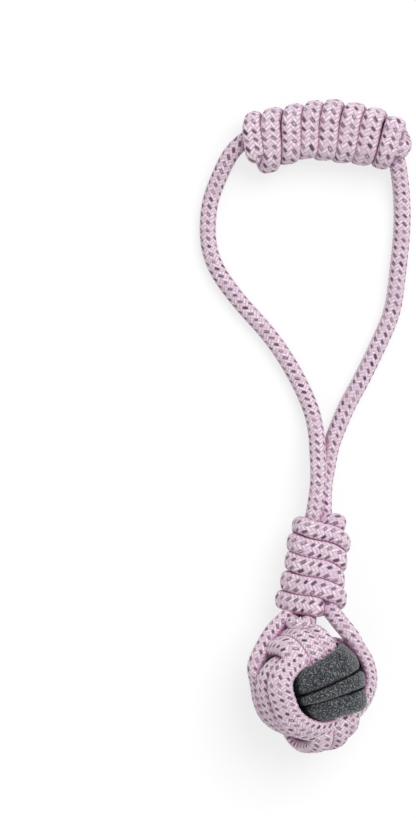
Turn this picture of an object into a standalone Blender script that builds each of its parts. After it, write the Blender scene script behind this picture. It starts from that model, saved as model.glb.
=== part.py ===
# Ball on rope dog toy, lying flat: a wound rope grip, a hand loop, a bound neck and a knotted ball.
# X runs across the toy, Y along it towards the grip, and Z up from the surface that it lies on.
import math

import bmesh
import bpy
import numpy as np

for old in list(bpy.data.objects):
    bpy.data.objects.remove(old)

mm = 0.001
degree = math.pi / 180

# Rope: its size where it lies free, and how far a winding presses it flat
rope_d = 10.2 * mm
seat_gap = 0.3 * mm
cut_gap = 0.45 * mm
pair_gap = 0.6 * mm
turn_gap = 0.6 * mm
slot_gap = 0.6 * mm
pressed_thick_share = 0.9
core_strand_share = 0.94
rest_flat_share = 0.1
slot_sharpness = 5

# Grip: a barrel coil over two strands that lie side by side, gently arched
grip_turns = 8
grip_pitch = 12.2 * mm
grip_arch_radius = 174.0 * mm
grip_lean_left = 2.0 * mm
grip_lean_right = -2.4 * mm
grip_start_angle = -40 * degree
grip_end_angle = 140 * degree
grip_left_pull = 30.7 * mm
grip_right_pull = 17.3 * mm
grip_left_mouth_share = 0.4
grip_right_mouth_share = 0.25
grip_left_stop_share = 0.85
grip_right_stop_share = 0.80
grip_stops = 6

# Hand loop: the free strands from the neck to the grip
loop_length = 232.5 * mm
loop_half_width = 60.0 * mm

# Neck: a shorter coil of the same kind, rolled a little and rising towards the ball
neck_turns = 5
neck_pitch = 11.4 * mm
neck_first_share = 0.43
neck_lean = 3.6 * mm
neck_roll = 25 * degree
neck_floor_clearance = 0.6 * mm
neck_rise = 10.0 * mm
neck_start_angle = -150 * degree
neck_end_angle = 50 * degree

# Ball: three bands of three strands over a round core, each band passing over the next
core_d = 38.5 * mm
lane_pitch = 11.4 * mm
fist_thick_share = 0.775
fist_strands = 3
fist_squareness = 4.6
lane_change = 29 * degree
end_room = 3 * degree
lead_angle = 22 * degree
core_segments = 24
core_rows = 14
layer_room = 2.5 * mm
band_crown = 0.6 * mm
link_length = 11.5 * mm
link_d = 8.6 * mm
link_lift = 9.4 * mm
link_gap = 0.4 * mm
link_run = 11.0 * mm

# How finely the windings are faceted
rings_per_loop = 24
tuck_rings = 8
tube_sides = 6
bevel_steps = 2
curve_samples = 16
end_lead_share = 0.1
lead_spacing_share = 0.45
bend_spacing_share = 0.8
core_spacing_share = 1.2
loop_spacing_share = 2

# How far the pieces lie to the right of the middle of the toy
grip_shift = 11.0 * mm
neck_top_shift = 7.9 * mm
neck_bottom_shift = 3.0 * mm
ball_shift = 1.8 * mm

# Where the joints lie, and where the ropes' stretches start inside the coils
throat_sway_height = 10.2 * mm
throat_bend_height = 40.8 * mm
grip_swing_depth = 38.8 * mm
neck_stop_shares = (0.88, 0.62, 0.36, 0.09, 0)
ball_pivot_share = 0.4
straight_share = 0.35

# The ball's own directions: out of its grey face, its right face and its top face
grey_face = np.array([0.440, 0.100, 0.893])
right_face = np.array([0.792, 0.419, -0.444])

# Sizes that follow from those above
pressed_thick = rope_d * pressed_thick_share
core_strand_d = rope_d * core_strand_share
rest_flat = rope_d * rest_flat_share
slot_offset = (core_strand_d + pair_gap) / 2
ring_radius = core_strand_d / 2 + slot_gap + pressed_thick / 2
coil_depth = ring_radius + pressed_thick / 2
coil_reach = slot_offset + coil_depth
fist_thick = rope_d * fist_thick_share
inner_run = core_d / 2 + seat_gap + fist_thick / 2
outer_run = inner_run + fist_thick + layer_room
ball_reach = outer_run + fist_thick / 2

grip_half_length = (grip_turns - 1) * grip_pitch / 2
neck_length = neck_turns * neck_pitch
toy_length = 2 * ball_reach + link_length + neck_length + loop_length + coil_reach
ball_y = ball_reach - toy_length / 2
neck_bottom_y = ball_y + ball_reach + link_length
neck_top_y = neck_bottom_y + neck_length
grip_y = neck_top_y + loop_length

pink_rope = ((0.72, 0.47, 0.62), 0.9)
grey_rope = ((0.09, 0.11, 0.115), 0.95)
core_rubber = ((0.30, 0.22, 0.16), 0.8)


# Curves

def unit(v):
    v = np.asarray(v, dtype=float)
    return v / np.linalg.norm(v, axis=-1, keepdims=True)


def tangents(points):
    return unit(np.gradient(points, axis=0))


def smooth_curve(points):
    """A natural cubic curve through the points, with the sample number of each point."""
    p = np.asarray(points, dtype=float)
    h = np.linalg.norm(np.diff(p, axis=0), axis=1)
    count = len(p)
    matrix, right = np.eye(count), np.zeros_like(p)
    for i in range(1, count - 1):
        matrix[i, i - 1:i + 2] = h[i - 1], 2 * (h[i - 1] + h[i]), h[i]
        right[i] = 6 * ((p[i + 1] - p[i]) / h[i] - (p[i] - p[i - 1]) / h[i - 1])
    bend = np.linalg.solve(matrix, right)
    a = np.linspace(0, 1, curve_samples, endpoint=False)[:, None]
    b = 1 - a
    spans = [b * p[i] + a * p[i + 1]
             + h[i] ** 2 / 6 * ((b ** 3 - b) * bend[i] + (a ** 3 - a) * bend[i + 1])
             for i in range(count - 1)]
    return np.vstack(spans + [p[-1:]]), np.arange(count) * curve_samples


def distances(curve):
    return np.concatenate([[0], np.cumsum(np.linalg.norm(np.diff(curve, axis=0), axis=1))])


def carry_normals(points, first):
    """Normals carried along a path from a first one, turning only as the path bends."""
    out = []
    normal = first
    for heading in tangents(points):
        normal = unit(normal - heading * np.dot(normal, heading))
        out.append(normal)
    return np.array(out)


# Pieces

def finish(obj, body, look):
    """Gives a piece its material and hangs it from the empty on its body's joint."""
    colour, roughness = look
    material = bpy.data.materials.new(obj.name)
    material.use_nodes = True
    shader = material.node_tree.nodes["Principled BSDF"]
    shader.inputs["Base Color"].default_value = (*colour, 1)
    shader.inputs["Roughness"].default_value = roughness
    obj.data.materials.append(material)
    bpy.context.collection.objects.link(obj)
    obj.parent = frames[body]
    obj.location = -pivots[body]
    return obj


def tube_rings(centres, outs, half_wide, half_thick):
    """The corners of six-sided sections along a path, with two flat sides that face out and in."""
    heading = tangents(centres)
    outs = unit(outs - heading * np.sum(outs * heading, axis=1, keepdims=True))
    sides = np.cross(heading, outs)
    corner = np.arange(tube_sides) * 2 * math.pi / tube_sides
    tall = half_thick / math.cos(math.pi / tube_sides)
    return (centres[:, None]
            + sides[:, None] * np.cos(corner)[None, :, None] * half_wide[:, None, None]
            + outs[:, None] * np.sin(corner)[None, :, None] * tall[:, None, None])


def wound_tube(name, body, rings, look):
    """One unbroken closed tube through its rings, cut flat where it rests."""
    shape = bmesh.new()
    verts = [[shape.verts.new(p) for p in ring] for ring in rings]
    for ring, following in zip(verts, verts[1:]):
        for k in range(len(ring)):
            shape.faces.new((ring[k], ring[k - 1], following[k - 1], following[k]))
    shape.faces.new(verts[0])
    shape.faces.new(verts[-1][::-1])
    everything = shape.verts[:] + shape.edges[:] + shape.faces[:]
    cut = bmesh.ops.bisect_plane(shape, geom=everything, plane_co=(0, 0, 0), plane_no=(0, 0, -1),
                                 clear_outer=True)
    rims = [e for e in cut["geom_cut"] if isinstance(e, bmesh.types.BMEdge)]
    if rims:
        bmesh.ops.edgeloop_fill(shape, edges=rims)
    bmesh.ops.triangulate(shape, faces=shape.faces)
    bmesh.ops.recalc_face_normals(shape, faces=shape.faces)
    mesh = bpy.data.meshes.new(name)
    shape.to_mesh(mesh)
    shape.free()
    print(f"{name}: least gap to itself {least_gap(rings) / mm:.2f} mm")
    return finish(bpy.data.objects.new(name, mesh), body, look)


def least_gap(rings):
    """The least distance between surface points of a tube that lie over a third of a loop apart along it."""
    thirds = [rings * (1 - s) + np.roll(rings, -1, axis=1) * s for s in (0, 1 / 3, 2 / 3)]
    rim = np.concatenate(thirds, axis=1)
    points = np.concatenate([rim[:-1], (rim[:-1] + rim[1:]) / 2], axis=1)
    number = np.arange(len(points))
    least = np.inf
    for i in number:
        rest = points[np.abs(number - i) > rings_per_loop / 3].reshape(-1, 3)
        if len(rest):
            apart = np.linalg.norm(points[i][:, None] - rest[None], axis=2)
            least = min(least, apart.min())
    return least


def plain_rope(name, body, curve, start, end, diameter, spacing_share):
    """A round rope between two distances along a curve, with closed ends that stay square to it."""
    start, end = start + cut_gap / 2, end - cut_gap / 2
    lead = diameter * end_lead_share
    count = max(2, math.ceil((end - start - 2 * lead) / (spacing_share * diameter)) + 1)
    stops = np.concatenate([[start], np.linspace(start + lead, end - lead, count), [end]])
    along = distances(curve)
    data = bpy.data.curves.new(name, "CURVE")
    data.dimensions = "3D"
    data.bevel_depth = diameter / 2
    data.bevel_resolution = bevel_steps
    data.use_fill_caps = True
    line = data.splines.new("POLY")
    line.points.add(len(stops) - 1)
    for point, stop in zip(line.points, stops):
        point.co = (*[np.interp(stop, along, curve[:, k]) for k in range(3)], 1)
    return finish(bpy.data.objects.new(name, data), body, pink_rope)


# Windings

def coil_rings(axis_at, turns, first, pitch, lean_at, start_slot=None, end_slot=None):
    """Sections of a coil over two strands, with its ends led into a slot or straight on for one diameter.

    A turn is a circle drawn out along the line of the slots. Lean moves its far side along the axis.
    """
    turn = np.arange(turns[0], turns[1], 2 * math.pi / rings_per_loop)
    place = first + pitch * turn / (2 * math.pi) + lean_at(turn) * (1 - np.cos(turn)) / 2
    point, along, outward, up = axis_at(place)
    reach = slot_offset * np.tanh(slot_sharpness * np.cos(turn)) + ring_radius * np.cos(turn)
    coil = point + outward * reach[:, None] + up * (ring_radius * np.sin(turn))[:, None]
    outs = unit(outward * np.cos(turn)[:, None] + up * np.sin(turn)[:, None])
    heading = tangents(coil)
    slope = np.sqrt(1 - np.sum(heading * along, axis=1) ** 2)
    wide = (abs(pitch) * slope - turn_gap) / 2
    thick = np.full(len(turn), pressed_thick / 2)
    round_half = core_strand_d / 2 * math.cos(math.pi / tube_sides)
    halves = np.array([1 / 2, 1])[:, None]
    for end, direction, into in ((0, -1, start_slot), (-1, 1, end_slot)):
        leaving = heading[end] * direction
        tail = tuck(coil[end], leaving, *into) if into else coil[end] + leaving * rope_d * halves
        normals = carry_normals(np.vstack([coil[end], tail]), outs[end])[1:]
        eased = np.linspace(0, 1, len(tail))
        rows = [(coil, tail), (outs, normals), (wide, wide[end] + (round_half - wide[end]) * eased),
                (thick, thick[end] + (round_half - thick[end]) * eased)]
        joined = [np.concatenate([new[::-1], old] if end == 0 else [old, new]) for old, new in rows]
        coil, outs, wide, thick = joined
        heading = tangents(coil)
    return tube_rings(coil, outs, wide, thick)


def tuck(start, heading, mouth, inward, pull):
    """From the end of a coil round into a slot, with a last straight run of one diameter."""
    s = np.linspace(0, 1, tuck_rings + 1)[1:, None]
    curve = ((2 * s ** 3 - 3 * s ** 2 + 1) * start + (s ** 3 - 2 * s ** 2 + s) * heading * pull
             + (3 * s ** 2 - 2 * s ** 3) * mouth + (s ** 3 - s ** 2) * inward * pull)
    return np.vstack([curve, mouth + inward * core_strand_d])


def ease(x):
    x = np.clip(x, 0, 1)
    return (x + x * x * (3 - 2 * x)) / 2


def fist_band(out, through, side, start, end, straight_ends=False):
    """Three strands round the core as one tube, about the ball's centre: its centres and its sections.

    Each loop is a rounded square, far out on the faces where it shows. Three quarters of the way round,
    where it is hidden, it moves over by one lane.
    """
    turn = np.arange(start, end, 2 * math.pi / rings_per_loop)
    lane = np.ones(len(turn))
    for k in range(fist_strands - 1):
        begins = math.pi * (3 / 2 + 2 * k) - lane_change
        lane = lane - ease((turn - begins) / (2 * lane_change))
    far = outer_run - band_crown * lane ** 2
    near = inner_run - band_crown * lane ** 2
    c, s, m = np.cos(turn), np.sin(turn), fist_squareness
    size = (np.abs(c / far) ** m + np.abs(s / near) ** m) ** (-1 / m)
    x, y = size * c, size * s
    centres = x[:, None] * out + y[:, None] * through + (lane * lane_pitch)[:, None] * side
    outs = ((np.sign(x) * np.abs(x / far) ** (m - 1) / far)[:, None] * out
            + (np.sign(y) * np.abs(y / near) ** (m - 1) / near)[:, None] * through)
    if straight_ends:
        heading = tangents(centres)
        steps = np.array([1, 1 / 2])[:, None] * rope_d
        centres = np.vstack([centres[0] - heading[0] * steps, centres,
                             centres[-1] + heading[-1] * steps[::-1]])
        outs = np.vstack([outs[:1], outs[:1], outs, outs[-1:], outs[-1:]])
    slope = np.sqrt(1 - (tangents(centres) @ side) ** 2)
    wide = (lane_pitch * slope - turn_gap) / 2
    thick = np.full(len(wide), fist_thick / 2)
    return centres, tube_rings(centres, outs, wide, thick)


# Where the grip and the neck lie

grip_z = coil_depth - rest_flat
neck_top_z = coil_depth + slot_offset * math.sin(neck_roll) + neck_floor_clearance
neck_top = np.array([neck_top_shift, neck_top_y, neck_top_z])
neck_bottom = np.array([neck_bottom_shift, neck_bottom_y, neck_top_z + neck_rise])
neck_run = np.linalg.norm(neck_bottom - neck_top)


def grip_axis(right):
    """Points on the grip's arch by the distance from its middle, the way along, out to the slots and up."""
    angle = np.asarray(right, dtype=float) / grip_arch_radius
    level = np.zeros_like(angle)
    along = np.stack([np.cos(angle), -np.sin(angle), level], axis=-1)
    outward = np.stack([np.sin(angle), np.cos(angle), level], axis=-1)
    up = np.stack([level, level, level + 1], axis=-1)
    arch_middle = np.array([grip_shift, grip_y - grip_arch_radius, grip_z])
    return arch_middle + outward * grip_arch_radius, along, outward, up


def neck_axis(down):
    """The same on the neck's straight axis by the distance from its top, with slots that turn on the way."""
    down = np.asarray(down, dtype=float)[..., None]
    along = unit(neck_bottom - neck_top)
    right = unit(np.cross([0, 0, 1], along))
    front = np.cross(along, right)
    roll = neck_roll * (1 - 2 * down / neck_run)
    left_slot = front * np.sin(roll) - right * np.cos(roll)
    up = front * np.cos(roll) + right * np.sin(roll)
    return neck_top + along * down, along + 0 * down, left_slot, up


def slot(axis_at, along, side, lift=0):
    """A point on the middle line of a slot in a coil."""
    point, forward, outward, up = axis_at(along)
    return point + outward * slot_offset * side + up * lift


# The ball, about its own centre, which then lies so high that its lowest strand is cut flat

top_face = unit(np.cross(grey_face, right_face))
grey_face = unit(grey_face)
right_face = np.cross(top_face, grey_face)
hidden_start = -math.pi / 2 + lane_change + end_room
hidden_end = 2 * math.pi * fist_strands - math.pi / 2 - lane_change - end_room
grey_centres, grey_rings = fist_band(grey_face, right_face, top_face, hidden_start, hidden_end)
top_centres, top_rings = fist_band(top_face, grey_face, right_face, hidden_start, hidden_end)
side_centres, side_rings = fist_band(right_face, -top_face, grey_face, -lead_angle,
                                     2 * math.pi * (fist_strands - 1 / 2) + lead_angle, True)
lowest = min(rings[..., 2].min() for rings in (grey_rings, top_rings, side_rings))
ball_centre = np.array([ball_shift, ball_y, -lowest - rest_flat])

# The free rope, by shares of the loop's half width and length, with heights as shares of the rope

left_loop_shares = [
    (0.055, 0.034, 1.88), (0.095, 0.092, 1.86), (0.115, 0.151, 1.65), (0.102, 0.211, 1.22),
    (0.057, 0.267, 0.80), (-0.045, 0.323, 0.56), (-0.178, 0.387, 0.52), (-0.318, 0.438, 0.52),
    (-0.505, 0.494, 0.52), (-0.677, 0.546, 0.52), (-0.803, 0.594, 0.52), (-0.917, 0.644, 0.52),
    (-0.992, 0.699, 0.52), (-1.003, 0.758, 0.52), (-0.962, 0.833, 0.56), (-0.885, 0.891, 0.80),
    (-0.745, 0.955, 1.28)]
right_loop_shares = [
    (0.205, 0.034, 1.25), (0.205, 0.073, 0.90), (0.225, 0.124, 0.61), (0.273, 0.179, 0.53),
    (0.343, 0.227, 0.52), (0.428, 0.279, 0.52), (0.538, 0.335, 0.52), (0.663, 0.399, 0.52),
    (0.772, 0.459, 0.52), (0.880, 0.531, 0.52), (0.915, 0.592, 0.52), (0.923, 0.641, 0.52),
    (0.950, 0.700, 0.52), (0.967, 0.758, 0.52), (0.970, 0.810, 0.56), (0.955, 0.858, 0.72),
    (0.950, 0.897, 0.92), (0.912, 0.940, 1.20)]
left_lead_shares = [(-1.11, 0.34, 0.12), (-1.01, 0.71, -0.02), (-0.73, 0.94, -0.22), (-0.42, 1.06, -0.35),
                    (-0.19, 1.17, -0.40)]
right_lead_shares = [(0.36, 1.17, -0.13)]


def loop_points(shares):
    return [np.array([x * loop_half_width, neck_top_y + y * loop_length, z * rope_d]) for x, y, z in shares]


def lead_points(shares):
    return [ball_centre + np.array(place) * ball_reach for place in shares]


def named_points(*groups):
    """One smooth curve through groups of points, with the distance along it to each group's start."""
    points = np.array([p for name, group in groups for p in group])
    curve, samples = smooth_curve(points)
    along = distances(curve)[samples]
    starts, count = {}, 0
    for name, group in groups:
        starts[name] = along[count]
        count += len(group)
    starts["end"] = along[-1]
    return curve, starts


# The joints, each with the empty that its body hangs from

ball_pivot_z = neck_bottom[2] + rope_d / 2
pivots = {
    "ball": ball_centre,
    "neck": np.array([ball_centre[0], neck_bottom_y - link_length * ball_pivot_share, ball_pivot_z]),
    "throat": np.array([neck_top_shift, neck_top_y + throat_sway_height, neck_top_z]),
    "loop": np.array([neck_top_shift, neck_top_y + throat_bend_height, rope_d]),
    "grip": np.array([grip_shift, grip_y - grip_swing_depth, grip_z]),
}
frames = {}
carrier = None
for body, pivot in pivots.items():
    empty = bpy.data.objects.new(body + "_pivot", None)
    bpy.context.collection.objects.link(empty)
    empty.parent = frames.get(carrier)
    empty.location = pivot - (pivots[carrier] if carrier else 0)
    frames[body] = empty
    carrier = body


# The ball

def in_place(rings):
    return rings + ball_centre


wound_tube("grey_band", "ball", in_place(grey_rings), grey_rope)
wound_tube("top_band", "ball", in_place(top_rings), pink_rope)
wound_tube("side_band", "ball", in_place(side_rings), pink_rope)

core = bmesh.new()
bmesh.ops.create_uvsphere(core, u_segments=core_segments, v_segments=core_rows, radius=core_d / 2)
bmesh.ops.translate(core, verts=core.verts, vec=ball_centre)
core_mesh = bpy.data.meshes.new("ball_core")
core.to_mesh(core_mesh)
core.free()
finish(bpy.data.objects.new("ball_core", core_mesh), "ball", core_rubber)

# The windings of the neck and the grip

neck_first = neck_pitch * neck_first_share
neck_angles = (neck_start_angle, 2 * math.pi * (neck_turns - 1) + neck_end_angle)
wound_tube("neck_wraps", "neck", coil_rings(
    neck_axis, neck_angles, neck_first, neck_pitch, lambda turn: neck_lean), pink_rope)


def grip_lean(turn):
    share = (turn - grip_start_angle) / (2 * math.pi * grip_turns)
    return grip_lean_right + (grip_lean_left - grip_lean_right) * share


grip_right_mouth = grip_half_length + grip_pitch * grip_right_mouth_share
grip_left_mouth = grip_pitch * grip_left_mouth_share - grip_half_length
grip_angles = (grip_start_angle, 2 * math.pi * (grip_turns - 1) + grip_end_angle)
wound_tube("grip_wraps", "grip", coil_rings(
    grip_axis, grip_angles, grip_half_length, -grip_pitch, grip_lean,
    (slot(grip_axis, grip_right_mouth, 1), -grip_axis(grip_right_mouth)[1], grip_right_pull),
    (slot(grip_axis, grip_left_mouth, -1), grip_axis(grip_left_mouth)[1], grip_left_pull)), pink_rope)

# The two long runs of rope, from the ball up through the neck, round the hand loop and into the grip

upper_end = grip_right_mouth - core_strand_d - cut_gap
lower_end = grip_left_mouth + core_strand_d + cut_gap
side_start, side_end = in_place(side_centres[0]), in_place(side_centres[-1])
side_start_way = unit(side_centres[0] - side_centres[1])
side_end_way = unit(side_centres[-1] - side_centres[-2])

straight = rope_d * straight_share
neck_down = neck_axis(neck_run)[1]
neck_stops = neck_run * np.array(neck_stop_shares)


def straight_on(end, way):
    return [end + way * (cut_gap / 2 + straight * k) for k in range(2)]


left_stops = np.linspace(-grip_half_length * grip_left_stop_share, upper_end, grip_stops)
right_stops = np.linspace(grip_half_length * grip_right_stop_share, lower_end, grip_stops)
left_curve, left = named_points(
    ("lead", straight_on(side_end, side_end_way) + lead_points(left_lead_shares)
     + [slot(neck_axis, neck_run, 1)]),
    ("neck", [slot(neck_axis, d, 1) for d in neck_stops]),
    ("throat", loop_points(left_loop_shares[:4])),
    ("loop", loop_points(left_loop_shares[4:-2])),
    ("bend", loop_points(left_loop_shares[-2:])),
    ("grip", [slot(grip_axis, u, 1) for u in left_stops]))
right_curve, right = named_points(
    ("lead", straight_on(side_start, side_start_way) + lead_points(right_lead_shares)),
    ("neck", [slot(neck_axis, d, -1) for d in neck_stops]),
    ("throat", loop_points(right_loop_shares[:4])),
    ("loop", loop_points(right_loop_shares[4:-2])),
    ("bend", loop_points(right_loop_shares[-2:])),
    ("grip", [slot(grip_axis, u, -1) for u in right_stops]))

link_from = slot(neck_axis, neck_run, 0, link_lift) + neck_down * link_gap
link_curve = np.array([link_from, link_from + neck_down * link_run])
plain_rope("ball_link", "neck", link_curve, 0, link_run, link_d, core_spacing_share)

stretches = (
    ("lead", "neck", core_strand_d, lead_spacing_share),
    ("neck_core", "neck", core_strand_d, core_spacing_share),
    ("throat", "throat", rope_d, core_spacing_share),
    ("loop", "loop", rope_d, loop_spacing_share),
    ("grip_bend", "loop", core_strand_d, bend_spacing_share),
    ("grip_core", "grip", core_strand_d, core_spacing_share))
for side_name, curve, starts in (("left", left_curve, left), ("right", right_curve, right)):
    edges = list(starts.values())
    for (stretch, body, diameter, spacing_share), start, end in zip(stretches, edges, edges[1:]):
        plain_rope(f"{stretch}_{side_name}", body, curve, start, end, diameter, spacing_share)
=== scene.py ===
# Ball on rope dog toy: braided pink rope and a grey fleece strip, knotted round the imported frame.
import math

import bpy
import numpy as np
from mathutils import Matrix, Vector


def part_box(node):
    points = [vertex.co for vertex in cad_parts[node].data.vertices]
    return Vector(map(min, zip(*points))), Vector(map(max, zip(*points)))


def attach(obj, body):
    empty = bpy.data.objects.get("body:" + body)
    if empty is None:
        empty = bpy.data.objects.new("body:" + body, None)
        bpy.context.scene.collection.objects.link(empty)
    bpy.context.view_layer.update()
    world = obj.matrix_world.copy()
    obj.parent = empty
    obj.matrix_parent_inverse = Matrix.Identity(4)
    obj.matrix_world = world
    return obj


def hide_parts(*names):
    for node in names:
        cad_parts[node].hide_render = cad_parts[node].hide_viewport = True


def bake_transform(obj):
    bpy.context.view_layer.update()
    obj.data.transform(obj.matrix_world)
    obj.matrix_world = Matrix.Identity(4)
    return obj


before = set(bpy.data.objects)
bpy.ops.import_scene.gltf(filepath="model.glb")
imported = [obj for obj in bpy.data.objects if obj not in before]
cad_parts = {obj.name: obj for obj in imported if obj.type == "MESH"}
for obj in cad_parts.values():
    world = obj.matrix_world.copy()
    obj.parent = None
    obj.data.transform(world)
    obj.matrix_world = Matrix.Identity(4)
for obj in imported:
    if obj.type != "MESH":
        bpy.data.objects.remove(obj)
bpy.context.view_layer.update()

mm = 0.001
degree = math.pi / 180
print("frame loaded")

# The view: straight down, with the photograph's scale at the rope's height
view = {"metresPerPixel": 0.61 * mm, "pixels": (416, 818), "middle": (-60.4 * mm, 10.1 * mm),
        "level": 18 * mm, "distance": 3.0, "sensor": 36.0}


def makeCamera():
    # the long side of the sensor spans the frame's height at that level
    data = bpy.data.cameras.new("camera")
    data.sensor_width = view["sensor"]
    data.lens = view["sensor"] * view["distance"] / (view["pixels"][1] * view["metresPerPixel"])
    data.clip_end = 20.0
    camera = bpy.data.objects.new("camera", data)
    bpy.context.collection.objects.link(camera)
    camera.location = (*view["middle"], view["level"] + view["distance"])
    bpy.context.scene.camera = camera


# Sizes of the toy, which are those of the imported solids
rope = {"across": 10.2 * mm, "coreShare": 0.94, "thickShare": 0.9, "flatShare": 0.1,
        "seat": 0.3 * mm, "pair": 0.6 * mm, "slot": 0.6 * mm, "cut": 0.45 * mm}
strandD = rope["across"] * rope["coreShare"]
pressedThick = rope["across"] * rope["thickShare"]
slotOffset = (strandD + rope["pair"]) / 2
ringRadius = strandD / 2 + rope["slot"] + pressedThick / 2
coilDepth = ringRadius + pressedThick / 2

# reach: how much further out than a circle each half turn goes. slid: how far along it is moved. Both in mm
grip = {"turns": 8, "pitch": 12.2 * mm, "arch": 174.0 * mm, "fuller": 0.8 * mm, "endShare": 0.85,
        "section": 2.7, "phase": 0.3, "leans": (-2.4, -0.3, -0.8, -2.1, -3.8), "leanAt": (0, 0.5, 0.65, 0.8, 1),
        "startAngle": -50 * degree, "endAngle": 102 * degree, "leftPull": 15 * mm, "rightPull": 40 * mm,
        "leftMouth": 0.65, "rightMouth": 0.05, "leftStop": 0.85, "rightStop": 0.80, "shift": 11.0 * mm,
        "reach": (-5.0, -1.4, -1.4, -1.6, 0.2, -1.8, 1.5, -3.2, 0.8, -4.9, -0.5, -2.2, -1.2, 1.0, -1.0, -3.5),
        "slid": (-1.5, -1.5, 3.0, -1, 1.4, -0.8, 0.3, -0.8, 0, 0.5, -0.3, 1.4, 1.0, 1.6, 1.0, 2.2, 3.8),
        "rightSide": -0.8, "rightLift": 7 * mm}
neck = {"turns": 5, "pitch": 11.4 * mm, "first": 0.43, "lean": 3.6 * mm, "roll": 25 * degree,
        "clear": 0.6 * mm, "rise": 10.0 * mm, "down": 2.7 * mm, "fuller": 1.1 * mm, "endShare": 0.95,
        "section": 2.6, "phase": 0.4, "startAngle": -232 * degree, "endAngle": 100 * degree,
        "topShift": 7.9 * mm, "bottomShift": 3.0 * mm, "stops": (0.88, 0.62, 0.36),
        "reach": (-4.4, -3.8, 0.9, -0.8, -0.6, -0.4, -1.2, 1.5, 1.0, 4.4, 2.0),
        "slid": (2.5, 2.2, 1.0, 0, 0.3, 0, -0.3, 0.2, 0.3, -0.2, 0, 0.2, 0)}
ball = {"core": 38.5 * mm, "strands": 3, "thickShare": 0.775, "laneChange": 29 * degree, "roundFor": 24 * mm,
        "endHalf": 0.53, "endRoom": 3 * degree, "leadAngle": 22 * degree, "room": 2.5 * mm, "link": 11.5 * mm,
        "shift": 1.8 * mm, "enterAt": (-0.5, 0, 0.35, 0.7, 1),
        "greyFace": (0.440, 0.100, 0.893), "rightFace": (0.792, 0.419, -0.444), "turned": -6 * degree}
loop = {"length": 232.5 * mm, "halfWidth": 60.0 * mm}

fistThick = rope["across"] * ball["thickShare"]
innerRun = ball["core"] / 2 + rope["seat"] + fistThick / 2
outerRun = innerRun + fistThick + ball["room"]
ballReach = outerRun + fistThick / 2
neckLength = neck["turns"] * neck["pitch"]
toyLength = 2 * ballReach + ball["link"] + neckLength + loop["length"] + slotOffset + coilDepth
ballY = ballReach - toyLength / 2
neckBottomY = ballY + ballReach + ball["link"]
neckTopY = neckBottomY + neckLength
gripY = neckTopY + loop["length"]
gripZ = coilDepth - rope["across"] * rope["flatShare"]
gripHalf = (grip["turns"] - 1) * grip["pitch"] / 2
neckTopZ = coilDepth + slotOffset * math.sin(neck["roll"]) + neck["clear"]
neckTop = np.array([neck["topShift"], neckTopY, neckTopZ])
neckBottom = np.array([neck["bottomShift"], neckBottomY, neckTopZ + neck["rise"]])
neckRun = np.linalg.norm(neckBottom - neckTop)


# Paths, and how finely they are worked out
# coilRings and fistRings are points in a full turn. outerPace keeps the braid's cells short outside a bend
sweep = {"coilRings": 32, "fistRings": 40, "fewestRings": 8, "tuckRings": 8, "outlineSteps": 1441,
         "runStep": 2 * mm, "slotSwitch": 5, "narrowFor": 3.2, "domeShare": 0.35, "leastDome": 0.01,
         "outerPace": 0.66}


def unit(v):
    # each row divided by its length
    v = np.asarray(v, dtype=float)
    return v / np.linalg.norm(v, axis=-1, keepdims=True)


def headings(points):
    # the way along at each point, from the points before and after it
    return unit(np.gradient(points, axis=0))


def travelled(points):
    # the distance along to each point: the sum of the straight steps before it
    return np.concatenate([[0], np.cumsum(np.linalg.norm(np.diff(points, axis=0), axis=1))])


def smoothRows(rows, at, wanted):
    # natural cubic through the rows: each span is the chord plus a cubic part of the bend at its two ends
    h = np.diff(at)
    count = len(at)
    matrix = np.eye(count)
    right = np.zeros_like(rows)
    inner = np.arange(1, count - 1)
    matrix[inner, inner - 1], matrix[inner, inner + 1] = h[:-1], h[1:]
    matrix[inner, inner] = 2 * (h[:-1] + h[1:])
    right[1:-1] = 6 * (np.diff(rows[1:], axis=0) / h[1:, None] - np.diff(rows[:-1], axis=0) / h[:-1, None])
    bend = np.linalg.solve(matrix, right)
    i = np.clip(np.searchsorted(at, wanted, side="right") - 1, 0, count - 2)
    a = ((wanted - at[i]) / h[i])[:, None]
    b = 1 - a
    return (b * rows[i] + a * rows[i + 1]
            + (h[i] ** 2)[:, None] / 6 * ((b ** 3 - b) * bend[i] + (a ** 3 - a) * bend[i + 1]))


def gripAxis(right):
    # a circle's arc: its point, the way along, out to the slots and up
    angle = np.asarray(right, dtype=float) / grip["arch"]
    level = np.zeros_like(angle)
    along = np.stack([np.cos(angle), -np.sin(angle), level], axis=-1)
    outward = np.stack([np.sin(angle), np.cos(angle), level], axis=-1)
    up = np.stack([level, level, level + 1], axis=-1)
    middle = np.array([grip["shift"], gripY - grip["arch"], gripZ])
    return middle + outward * grip["arch"], along, outward, up


def neckAxis(down):
    # a straight line, with slots that turn about it evenly from one end to the other
    down = np.asarray(down, dtype=float)[..., None]
    along = unit(neckBottom - neckTop)
    right = unit(np.cross([0, 0, 1], along))
    front = np.cross(along, right)
    roll = neck["roll"] * (1 - 2 * down / neckRun)
    leftSlot = front * np.sin(roll) - right * np.cos(roll)
    return neckTop + along * down, along + 0 * down, leftSlot, front * np.cos(roll) + right * np.sin(roll)


def slotPoint(axisAt, along, side, lift=0):
    # the axis's point, moved out to one of the two slots beside it
    point, forward, outward, up = axisAt(along)
    return point + outward * slotOffset * side + up * lift


def carryNormals(points, first):
    # each normal is the last one, turned only as far as the path bends
    out = []
    normal = first
    for heading in headings(points):
        normal = unit(normal - heading * np.dot(normal, heading))
        out.append(normal)
    return np.array(out)


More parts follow.
